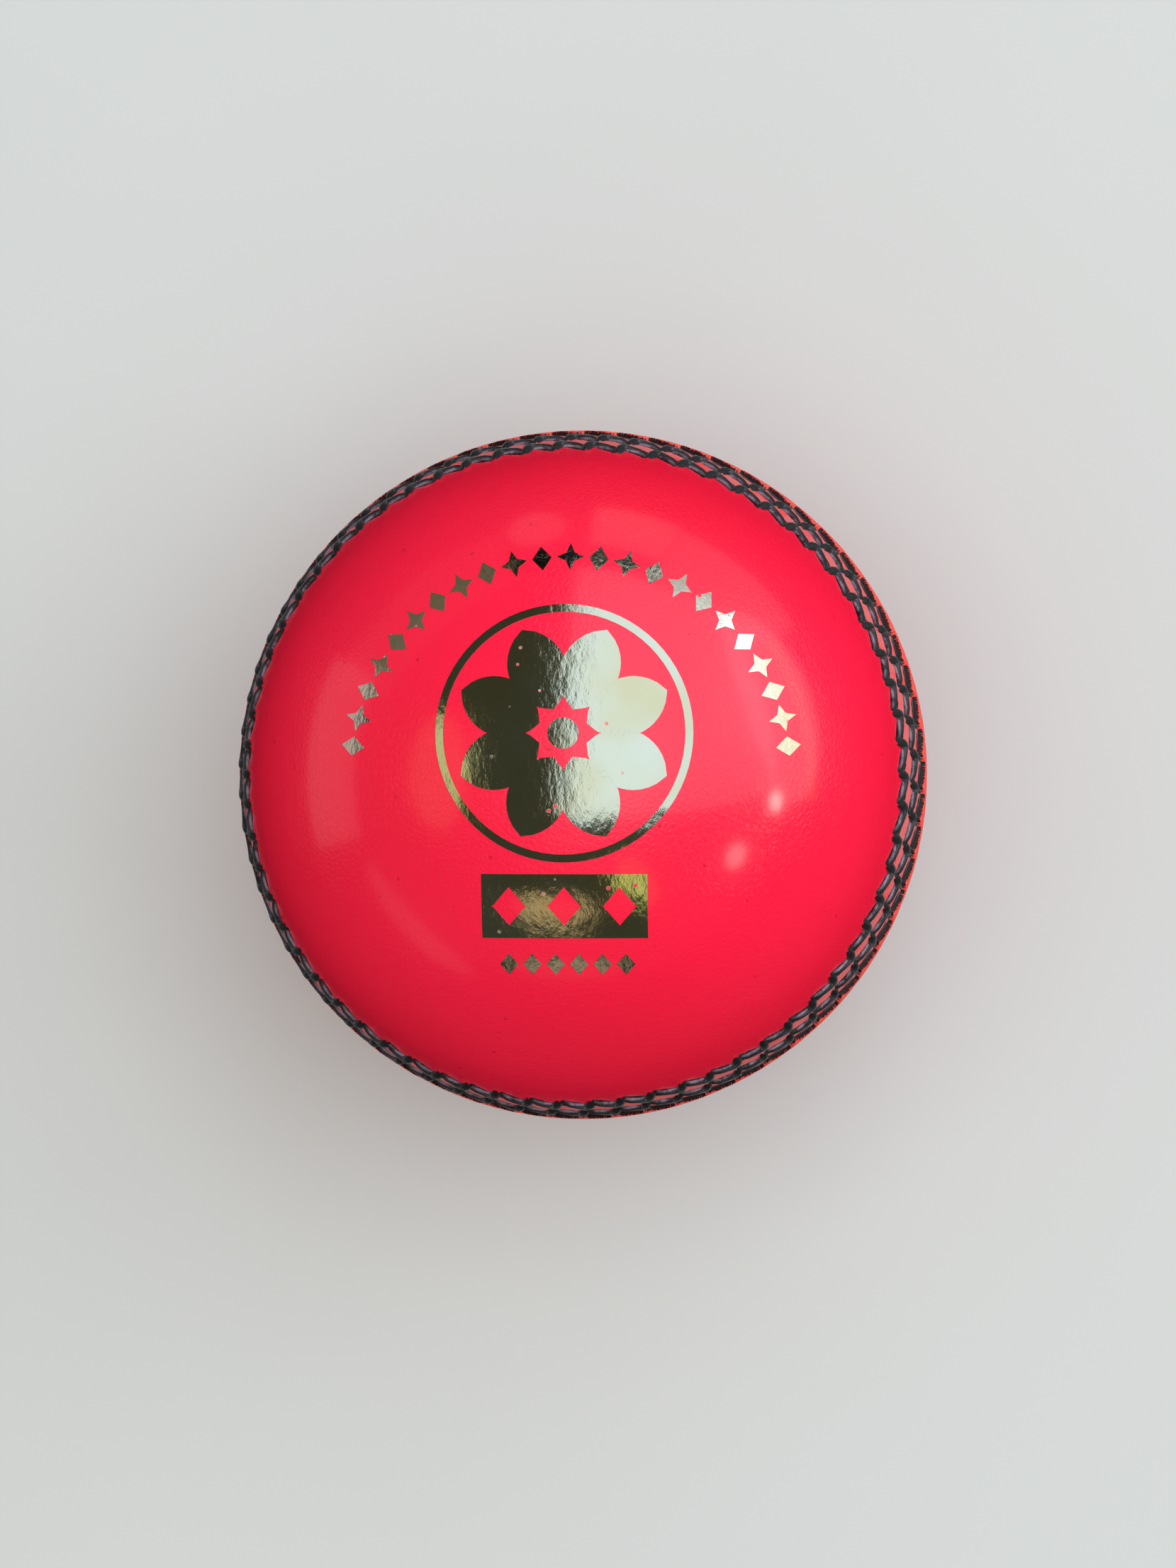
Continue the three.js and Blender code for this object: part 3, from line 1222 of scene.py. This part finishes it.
    def bar(self) -> list[Sheet]:
        """Draws a bold bar with lozenges cut out of it.

        Returns:
            Its upper and lower halves.
        """
        width, height = self.bar_size
        x = np.linspace(-width / 2, width / 2, 24 * self.bar_holes + 1)
        spacing = width / self.bar_holes
        near = np.abs((x + width / 2) % spacing - spacing / 2)
        hole = np.maximum(0.0, 1 - near / (spacing * self.hole_share)) * height * self.hole_share
        outer = np.full_like(x, height / 2)
        sheets = []
        for low, high in ((hole, outer), (-outer, -hole)):
            edges = (np.stack([x, low], 1), np.stack([x, high], 1))
            sheets.append(self.ruled(*self.placed(edges, 0.0, self.bar_middle), 4))
        return sheets

    def row(self) -> list[Sheet]:
        """Sets a row of small diamonds.

        Returns:
            The diamonds.
        """
        spacing = self.row_length / self.row_marks
        sheets = []
        for place in range(self.row_marks):
            x = self.row_middle[0] + (place - (self.row_marks - 1) / 2) * spacing
            mark = self.lozenge(spacing * 0.78, spacing * 0.92)
            sheets.append(self.ruled(*self.placed(mark, 0.0, (x, self.row_middle[1]))))
        return sheets

    def pressed(self, point: Vector) -> Vector:
        """Sets a point of the flat stamp on the ball.

        Args:
            point: its place in the stamp and its height in the foil, in mm.

        Returns:
            Its place on the ball, in mm.
        """
        ball = self.seam.radius / MM
        flat = point.to_2d()
        level = math.sqrt(max(ball**2 - flat.length_squared, 0.0))
        direction = Vector((flat.x, flat.y, level)).normalized()
        direction.rotate(Matrix.Rotation(self.shift / ball, 3, "Y"))
        return direction * (ball + self.rise - self.thickness + point.z)

    def sheet(self, name: str, sheets: list[Sheet], material: bpy.types.Material) -> bpy.types.Object:
        """Makes one closed piece of foil from flat faces.

        Args:
            name: the piece's name.
            sheets: the faces.
            material: the foil.

        Returns:
            The piece.
        """
        shape = bmesh.new()
        for points, faces in sheets:
            corners = [shape.verts.new((x, y, 0.0)) for x, y in points]
            for face in faces:
                shape.faces.new([corners[i] for i in face])
        bmesh.ops.remove_doubles(shape, verts=shape.verts, dist=1e-4)
        bmesh.ops.dissolve_degenerate(shape, edges=shape.edges, dist=1e-4)
        grown = bmesh.ops.extrude_face_region(shape, geom=shape.faces[:], use_keep_orig=True)
        for vertex in (item for item in grown["geom"] if isinstance(item, bmesh.types.BMVert)):
            vertex.co.z = self.thickness
        for vertex in shape.verts:
            vertex.co = self.pressed(vertex.co) * MM
        bmesh.ops.recalc_face_normals(shape, faces=shape.faces)
        mesh = bpy.data.meshes.new(name)
        shape.to_mesh(mesh)
        shape.free()
        mesh.polygons.foreach_set("use_smooth", [True] * len(mesh.polygons))
        mesh.set_sharp_from_angle(angle=self.crease_angle)
        mesh.materials.append(material)
        piece = add_object(name, mesh)
        settle(piece, "foil")
        return piece

    def build(self, material: bpy.types.Material) -> None:
        """Makes the four parts of the stamp.

        Args:
            material: the foil.
        """
        parts = {
            "foil_arch": self.arch(),
            "foil_medallion": self.medallion(),
            "foil_bar": self.bar(),
            "foil_diamond_row": self.row(),
        }
        for name, sheets in parts.items():
            self.sheet(name, sheets, material)


# ---------------------------------------------------------------- the core


@dataclass
class GrainyRelief:
    """Works a granular surface into a mesh, inwards from where it was."""

    grain: float = 1.5 * MM
    depth: float = 0.18 * MM

    def tree(self, name: str, material: bpy.types.Material) -> ShapeGraph:
        """The rule that sinks the joints between granules.

        Args:
            name: the tree's name.
            material: the cork.

        Returns:
            The tree, which begins from a smooth piece.
        """
        graph = ShapeGraph(name, {"Grain": self.grain, "Depth": self.depth})
        place = graph.add("GeometryNodeInputPosition")
        normal = graph.add("GeometryNodeInputNormal")
        sockets = {"Vector": place, "Scale": 1.0 / graph.size("Grain")}
        joints = graph.add("ShaderNodeTexVoronoi", {"feature": "DISTANCE_TO_EDGE"}, sockets)
        sunk = (joints.step(0.0, 0.3) - 1.0) * graph.size("Depth")
        shift = graph.add("ShaderNodeVectorMath", {"operation": "SCALE"}, {0: normal, "Scale": sunk})
        sockets = {"Geometry": graph.entry_geometry(), "Offset": shift}
        graph.finish(graph.add("GeometryNodeSetPosition", {}, sockets), material)
        return graph


@dataclass
class Nucleus:
    """The ball of bonded cork and rubber in the middle."""

    subdivisions: int = 5

    def build(self, material: bpy.types.Material) -> bpy.types.Object:
        """Makes the nucleus.

        Args:
            material: the bonded cork.

        Returns:
            The nucleus.
        """
        _, radius = radii_of("core_nucleus")
        shape = bmesh.new()
        bmesh.ops.create_icosphere(shape, subdivisions=self.subdivisions, radius=radius)
        mesh = bpy.data.meshes.new("nucleus")
        shape.to_mesh(mesh)
        shape.free()
        piece = GrainyRelief().tree("granulated_nucleus", material).bake("granulated_nucleus", mesh)
        settle(piece, "cork_rubber", "core_nucleus")
        return piece


@dataclass
class CorkJacket:
    """One jacket of sheet cork, cut as four quarter gores with a gap between them."""

    layer: int
    inner: float
    gores: int = 4
    gap: float = 0.4 * MM
    rows: int = 40
    columns: int = 22
    relief: GrainyRelief = field(default_factory=lambda: GrainyRelief(1.8 * MM, 0.12 * MM))
    crease_angle: float = math.radians(50)
    outer: float = field(init=False)

    def __post_init__(self) -> None:
        """Takes the outer radius from the frame."""
        _, self.outer = radii_of(self.node(1))

    def node(self, place: int) -> str:
        """The frame's name for one gore."""
        return f"cork_layer_{self.layer}_gore_{place}"

    def skin(self, radius: float) -> np.ndarray:
        """Lays out one face of a gore.

        Args:
            radius: its distance from the ball's centre.

        Returns:
            Its rows from one tip to the other, each from edge to edge, and then the two tips.
        """
        tip = math.acos(self.gap / 2 * math.sqrt(2) / radius)
        latitudes = np.linspace(-tip, tip, self.rows + 1)[1:-1]
        flat = radius * np.cos(latitudes)
        start = np.arcsin(self.gap / 2 / flat)
        turns = start[:, None] + (math.pi / 2 - 2 * start[:, None]) * np.linspace(0, 1, self.columns + 1)
        height = np.repeat(radius * np.sin(latitudes)[:, None], self.columns + 1, 1)
        grid = np.stack([flat[:, None] * np.cos(turns), flat[:, None] * np.sin(turns), height], 2)
        corner = self.gap / 2
        tips = [(corner, corner, sign * radius * math.sin(tip)) for sign in (-1, 1)]
        return np.concatenate([grid.reshape(-1, 3), tips])

    def mesh(self) -> bpy.types.Mesh:
        """Makes one gore.

        Returns:
            A closed mesh in the quarter between +X and +Y.
        """
        points = np.concatenate([self.skin(self.outer), self.skin(self.inner)])
        wide, tall = self.columns + 1, self.rows - 1
        inner = wide * tall + 2
        low, high = wide * tall, wide * tall + 1
        faces: list[Face] = []
        for row in range(tall - 1):
            for column in range(self.columns):
                a = row * wide + column
                quad = (a, a + 1, a + 1 + wide, a + wide)
                faces += [quad, tuple(inner + i for i in reversed(quad))]
            for a, flip in ((row * wide, False), (row * wide + self.columns, True)):
                wall = (a, a + wide, inner + a + wide, inner + a)
                faces.append(tuple(reversed(wall)) if flip else wall)
        for column in range(self.columns):
            top = (tall - 1) * wide + column
            fans = [(column + 1, column, low), (top, top + 1, high)]
            for fan in fans:
                faces += [fan, tuple(inner + i for i in reversed(fan))]
        last = (tall - 1) * wide
        faces += [
            (low, 0, inner, inner + low),
            (self.columns, low, inner + low, inner + self.columns),
            (last, high, inner + high, inner + last),
            (high, last + self.columns, inner + last + self.columns, inner + high),
        ]
        return mesh_of("gore", points, faces)

    def build(self, material: bpy.types.Material) -> float:
        """Makes the gores.

        Args:
            material: the cork.

        Returns:
            The jacket's outer radius.
        """
        name = f"cork_quarter_{self.layer}"
        first = self.relief.tree(name, material).bake(f"{name}_1", self.mesh())
        first.data.set_sharp_from_angle(angle=self.crease_angle)
        stagger = 0.0 if self.layer % 2 else math.pi / 4
        turns = [place * TAU / self.gores + stagger for place in range(self.gores)]
        copies = (add_object(f"{name}_{place}", first.data.copy()) for place in range(2, self.gores + 1))
        for place, (gore, turn) in enumerate(zip([first, *copies], turns), 1):
            gore.data.transform(Matrix.Rotation(turn, 4, "Z"))
            settle(gore, "cork", self.node(place))
        return self.outer


@dataclass
class YarnWinding:
    """Wool yarn wound tight over a jacket. Each turn is a great circle that creeps round two small eyes."""

    layer: int
    inner: float
    yarn_radius: float = 0.42 * MM
    eye_radius: float = 2.1 * MM
    steps_per_turn: int = 44
    passes: int = 4
    lay: float = 0.95 * MM  # from one turn to the next
    sway: float = 0.19  # how far the turns lean away from the eyes and back
    sways: float = 1.37  # in each pass
    waves: float = 0.4142  # in and out on each turn, near root two less one so that no two turns lie alike
    sides: int = 5
    outer: float = field(init=False)

    AXES = {2: "Y", 3: "X"}  # the layers whose eyes are turned away from Z, and the axis of that turn

    def __post_init__(self) -> None:
        """Takes the outer radius from the frame."""
        _, self.outer = radii_of(self.node)

    @property
    def node(self) -> str:
        """The frame's name for the winding."""
        return f"yarn_winding_{self.layer}"

    def tree(self, material: bpy.types.Material) -> ShapeGraph:
        """The rule that the yarn follows round the ball.

        Args:
            material: the yarn.

        Returns:
            The tree, which needs nothing to begin from.
        """
        turns = round(math.pi * self.outer / self.lay)
        sizes = {
            "Turns": turns,
            "Steps": self.steps_per_turn,
            "Passes": float(self.passes),
            "Middle Radius": (self.inner + self.outer) / 2,
            "Build Up": (self.outer - self.inner) / 2 - self.yarn_radius,
            "Yarn Radius": self.yarn_radius,
            "Eye": self.eye_radius / self.inner,
        }
        graph = ShapeGraph(f"winding_{self.layer}", sizes)
        count = graph.size("Turns") * graph.size("Steps") + 1
        index = graph.add("GeometryNodeInputIndex")
        done = index / (count - 1)
        round_ball = index * TAU / graph.size("Steps")
        creep = done * graph.size("Passes") * math.pi
        lean = 1.0 - (done * graph.size("Passes") * TAU * self.sways).cosine()
        tilt = graph.size("Eye") + lean * self.sway
        wave = (round_ball * self.waves + done * 17.0).sine()
        reach = graph.size("Middle Radius") + wave * graph.size("Build Up")
        ahead, aside = round_ball.cosine(), round_ball.sine()
        place = graph.vector(
            (ahead * creep.cosine() - aside * tilt.sine() * creep.sine()) * reach,
            (ahead * creep.sine() + aside * tilt.sine() * creep.cosine()) * reach,
            aside * tilt.cosine() * reach,
        )
        line = graph.add("GeometryNodeMeshLine", {}, {"Count": count})
        curve = graph.add("GeometryNodeMeshToCurve", {}, {"Mesh": line})
        wound = graph.add("GeometryNodeSetPosition", {}, {"Geometry": curve, "Position": place})
        sockets = {"Resolution": self.sides, "Radius": graph.size("Yarn Radius")}
        section = graph.add("GeometryNodeCurvePrimitiveCircle", {}, sockets)
        sockets = {"Curve": wound, "Profile Curve": section, "Fill Caps": True}
        graph.finish(graph.add("GeometryNodeCurveToMesh", {}, sockets), material)
        return graph

    def build(self, material: bpy.types.Material) -> float:
        """Makes the winding.

        Args:
            material: the yarn.

        Returns:
            Its outer radius.
        """
        piece = self.tree(material).bake(f"wound_yarn_{self.layer}")
        if self.layer in self.AXES:
            piece.data.transform(Matrix.Rotation(math.pi / 2, 4, self.AXES[self.layer]))
        settle(piece, "yarn", self.node)
        return self.outer


@dataclass
class Core:
    """Everything inside the leather, from the middle outwards."""

    layers: int = 4
    layer_gap: float = 0.31 * MM

    def build(self, nucleus: bpy.types.Material, cork: bpy.types.Material, yarn: bpy.types.Material) -> None:
        """Makes the nucleus and each layer round it.

        Args:
            nucleus: the bonded cork.
            cork: the sheet cork.
            yarn: the wool.
        """
        Nucleus().build(nucleus)
        _, reached = radii_of("core_nucleus")
        for layer in range(1, self.layers + 1):
            reached = CorkJacket(layer, reached + self.layer_gap).build(cork)
            reached = YarnWinding(layer, reached + self.layer_gap).build(yarn)


# ---------------------------------------------------------------- the studio


@dataclass(frozen=True)
class Softbox:
    """A soft light aimed at the ball, or straight down where it is overhead."""

    name: str
    place: tuple[float, float, float]
    size: tuple[float, float]
    radiance: float
    tint: Colour = (1.0, 1.0, 1.0)
    shape: str = "RECTANGLE"
    mirrored: bool = True
    overhead: bool = False

    def build(self) -> None:
        """Makes the light."""
        light = bpy.data.lights.new(self.name, "AREA")
        light.shape = self.shape
        light.size, light.size_y = self.size
        light.color = self.tint
        light.energy = self.radiance * math.pi * self.size[0] * self.size[1]
        lamp = bpy.data.objects.new(self.name, light)
        lamp.location = self.place
        if not self.overhead:
            lamp.rotation_mode = "QUATERNION"
            lamp.rotation_quaternion = (-Vector(self.place)).to_track_quat("-Z", "Y")
        lamp.visible_camera = False
        lamp.visible_glossy = self.mirrored
        bpy.context.scene.collection.objects.link(lamp)


@dataclass
class Studio:
    """A pale floor, soft light and a camera that looks down at the stamped face."""

    camera_distance: float = 0.90
    camera_tilt: float = math.radians(5.3)
    camera_turn: float = math.radians(5.0)
    aim: tuple[float, float] = (0.56 * MM, -0.98 * MM)
    lens: float = 194.8
    floor_half: float = 3.0
    surround: Colour = (0.42, 0.42, 0.42)

    SOFTBOXES = (
        Softbox("sky_panel", (2.0, 2.04, 1.2), (4.0, 4.72), 1.0, (0.70, 0.90, 1.0), overhead=True),
        Softbox("shade_panel", (0.0, 0.0, 1.4), (9.0, 9.0), 0.045, (0.8, 0.9, 0.6), overhead=True),
        Softbox("right_panel", (2.2, 0.80, 0.40), (2.4, 1.2), 0.9, (0.80, 0.93, 1.0), "ELLIPSE"),
        Softbox("low_sun_strip", (1.9, 0.50, 0.06), (1.5, 0.16), 1.3, (1.0, 0.70, 0.32)),
        Softbox("upper_right_panel", (1.45, 1.85, 0.02), (1.4, 1.1), 0.55, (0.95, 0.95, 1.0)),
        Softbox("far_panel", (0.25, 1.24, -0.08), (0.42, 0.42), 0.6),
        Softbox("upper_glow", (-0.24, 1.25, -0.05), (0.3, 0.35), 0.35, shape="ELLIPSE"),
        Softbox("window_panel", (-1.2, 0.10, 0.02), (0.9, 0.5), 0.5, (1.0, 0.9, 0.9)),
        Softbox("lower_streak", (-0.90, -0.82, 0.25), (0.9, 0.2), 0.28, (1.0, 0.9, 0.9), "ELLIPSE"),
        Softbox("near_glint", (1.14, -0.15, 0.34), (0.12, 0.10), 12.0, (1.0, 0.95, 0.85), "ELLIPSE"),
        Softbox("low_glint", (0.97, -0.48, 0.52), (0.16, 0.14), 4.0, (1.0, 0.97, 0.92), "ELLIPSE"),
        Softbox("green_glow", (-0.78, 0.02, 0.80), (0.7, 0.4), 0.45, (0.85, 0.90, 0.50), "ELLIPSE"),
        Softbox("gold_glow", (-0.12, -0.80, 0.78), (0.5, 0.2), 0.30, (1.0, 0.80, 0.45), "ELLIPSE"),
        Softbox("lime_glow", (0.42, -0.66, 0.85), (0.2, 0.4), 0.50, (0.85, 0.95, 0.30), "ELLIPSE"),
        Softbox("olive_glow", (-0.9, 0.95, 0.2), (1.2, 0.6), 0.14, (0.90, 0.82, 0.62)),
        Softbox("lower_glow", (-0.05, -1.2, 0.48), (0.8, 0.16), 0.22, (1.0, 0.80, 0.60), "ELLIPSE"),
        Softbox("overhead_fill", (0.15, 0.10, 1.6), (1.6, 1.6), 1.6, (1.0, 0.98, 0.97), mirrored=False),
        Softbox("side_fill", (1.5, 0.60, 0.75), (0.8, 0.8), 1.9, (1.0, 0.97, 0.93), mirrored=False),
    )

    def build_floor(self) -> None:
        """Makes the floor that the ball lies on."""
        low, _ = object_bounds()
        half = self.floor_half
        corners = [(-half, -half, low.z), (half, -half, low.z), (half, half, low.z), (-half, half, low.z)]
        floor = add_object("floor", mesh_of("floor", np.array(corners), [(0, 1, 2, 3)]))
        floor.data.materials.append(PaleFloor().make())
        floor.visible_glossy = False
        floor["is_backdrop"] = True

    def build_world(self) -> None:
        """Makes the pale surround, which the lacquer and foil don't mirror between the lights."""
        world = bpy.data.worlds.new("surround")
        world.use_nodes = True
        world.node_tree.nodes["Background"].inputs["Color"].default_value = (*self.surround, 1.0)
        world.cycles_visibility.glossy = False
        bpy.context.scene.world = world
        bpy.context.scene.view_settings.view_transform = "Standard"

    def build_camera(self) -> None:
        """Makes the camera, with +Y up in its picture."""
        tilt, turn = self.camera_tilt, self.camera_turn
        back = Vector((math.sin(tilt) * math.cos(turn), math.sin(tilt) * math.sin(turn), math.cos(tilt)))
        right = Vector((0.0, 1.0, 0.0)).cross(back).normalized()
        up = back.cross(right)
        data = bpy.data.cameras.new("camera")
        data.lens = self.lens
        data.clip_start = 0.05
        camera = bpy.data.objects.new("camera", data)
        turned = Matrix((right, up, back)).transposed().to_4x4()
        place = back * self.camera_distance + right * self.aim[0] + up * self.aim[1]
        camera.matrix_world = Matrix.Translation(place) @ turned
        bpy.context.scene.collection.objects.link(camera)
        bpy.context.scene.camera = camera

    def build(self) -> None:
        """Makes everything round the ball."""
        self.build_camera()
        self.build_floor()
        self.build_world()
        for softbox in self.SOFTBOXES:
            softbox.build()


# ---------------------------------------------------------------- the whole ball


def main() -> None:
    """Builds the studio and then the ball, from the inside out."""
    logging.basicConfig(level=logging.INFO, format="%(name)s: %(message)s")
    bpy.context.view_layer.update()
    Studio().build()
    seam = Seam()
    browns = ((0.20, 0.12, 0.07), (0.13, 0.08, 0.05), (0.03, 0.02, 0.015))
    bonded = NaturalCork("bonded_cork", *browns, granules=900.0, roughness=0.7)
    Core().build(bonded.make(), NaturalCork().make(), WoolYarn().make())
    leather, thread = LacqueredLeather().make(), WaxedThread().make()
    for side in Side:
        LeatherCup(side, seam).build(leather)
        for line in StitchLine:
            StitchRow(side, line, seam).build(thread)
    FoilStamp(seam).build(StampingFoil().make())


if __name__ == "__main__":
    main()
